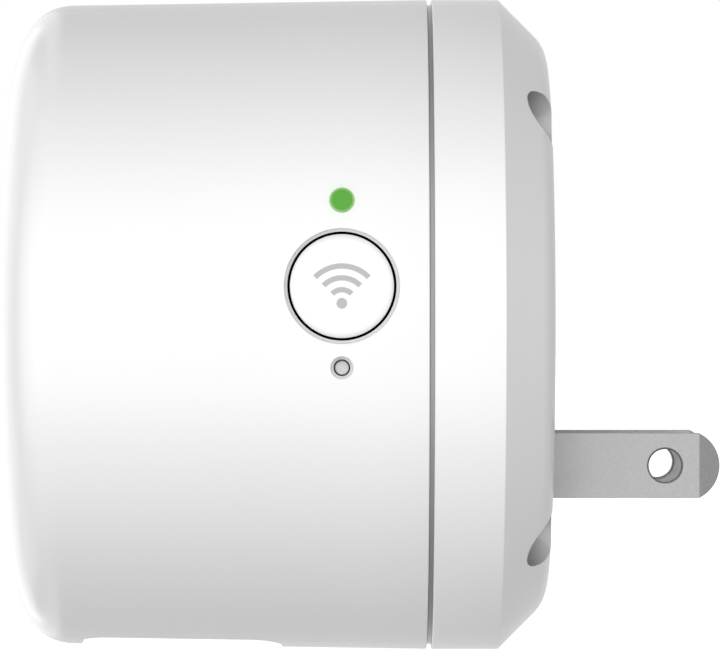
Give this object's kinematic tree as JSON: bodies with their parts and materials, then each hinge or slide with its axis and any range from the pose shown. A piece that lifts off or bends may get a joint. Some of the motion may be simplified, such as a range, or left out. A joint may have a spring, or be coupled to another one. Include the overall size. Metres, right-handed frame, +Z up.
{
  "type": "wifi range extender",
  "caption": "Round plug-in wifi range extender: domed front shell, chamfered rear cover, fixed mains blades, side pair button, status lens and reset pin, with power and radio boards inside.",
  "frame": {"origin": "centre of the flat rear face, on the axis of the round body", "axes": "+X out of the rear face along the plug blades, +Z up as it hangs in a wall socket, the controls face -Y"},
  "size_m": [0.0699, 0.0644, 0.0644],
  "materials": {
    "white_plastic": "gloss white",
    "matt_white_plastic": "matt off-white",
    "grey_pin_plastic": "fine grey speckle",
    "green_lens": "smooth, lit from behind",
    "nickel": "nickel plated, fine brushing",
    "screw_steel": "zinc plated",
    "circuit_board": "green solder mask",
    "black_plastic": "moulded, satin",
    "capacitor_sleeve": "shrunk sleeve",
    "ferrite": "dark sintered ferrite",
    "winding_tape": "yellow tape over the coil",
    "blue_coating": "dipped coating",
    "aluminium": "extruded, satin",
    "label_stock": "plain, unprinted",
    "thermal_rubber": "soft pad",
    "insulating_film": "thin film"
  },
  "bodies": {
    "housing": {"front_shell": "white_plastic", "rear_cover": "white_plastic", "rating_label": "label_stock", "cover_screw_1": "screw_steel", "cover_screw_2": "screw_steel", "cover_screw_3": "screw_steel", "cover_screw_4": "screw_steel", "blade_left": "nickel", "blade_right": "nickel", "blade_retainer": "matt_white_plastic", "retainer_screw_1": "screw_steel", "retainer_screw_2": "screw_steel", "power_board": "circuit_board", "power_board_screw_1": "screw_steel", "power_board_screw_2": "screw_steel", "power_header": "black_plastic", "input_fuse": "black_plastic", "bridge_rectifier": "black_plastic", "filter_inductor": "ferrite", "bulk_capacitor_1": "capacitor_sleeve", "bulk_capacitor_2": "capacitor_sleeve", "transformer_base": "black_plastic", "transformer_core": "ferrite", "transformer_winding": "winding_tape", "switching_controller": "black_plastic", "optocoupler": "black_plastic", "suppression_capacitor": "blue_coating", "output_diode": "black_plastic", "output_capacitor_1": "capacitor_sleeve", "output_capacitor_2": "capacitor_sleeve", "insulating_sheet": "insulating_film", "main_board": "circuit_board", "main_board_screw_1": "screw_steel", "main_board_screw_2": "screw_steel", "main_board_screw_3": "screw_steel", "power_socket": "black_plastic", "wifi_chip": "black_plastic", "thermal_pad": "thermal_rubber", "heat_sink": "aluminium", "shield_can": "nickel", "memory_chip": "black_plastic", "flash_chip": "black_plastic", "crystal": "nickel", "dc_inductor": "ferrite", "antenna_connector_1": "nickel", "antenna_connector_2": "nickel", "antenna_1": "circuit_board", "antenna_2": "circuit_board", "antenna_cable_1": "black_plastic", "antenna_cable_2": "black_plastic", "status_light": "matt_white_plastic", "light_pipe": "green_lens", "pair_switch_body": "black_plastic", "reset_switch_body": "black_plastic"},
    "pair_key": {"pair_button": "white_plastic"},
    "pair_plunger": {"pair_switch_plunger": "matt_white_plastic"},
    "reset_key": {"reset_button": "grey_pin_plastic"},
    "reset_plunger": {"reset_switch_plunger": "matt_white_plastic"}
  },
  "joints": [
    {"name": "pair_button_press", "type": "slide", "parent": "housing", "child": "pair_key", "axis": [0, 1, 0], "range_m": [0, 0.0003]},
    {"name": "pair_plunger_press", "type": "slide", "parent": "housing", "child": "pair_plunger", "axis": [0, 1, 0], "range_m": [0, 0.0003]},
    {"name": "reset_button_press", "type": "slide", "parent": "housing", "child": "reset_key", "axis": [0, 1, 0], "range_m": [0, 0.00025]},
    {"name": "reset_plunger_press", "type": "slide", "parent": "housing", "child": "reset_plunger", "axis": [0, 1, 0], "range_m": [0, 0.00025]}
  ],
  "couplings": [
    {"joint": "pair_plunger_press", "follows": "pair_button_press", "ratio": 1},
    {"joint": "reset_plunger_press", "follows": "reset_button_press", "ratio": 1}
  ]
}
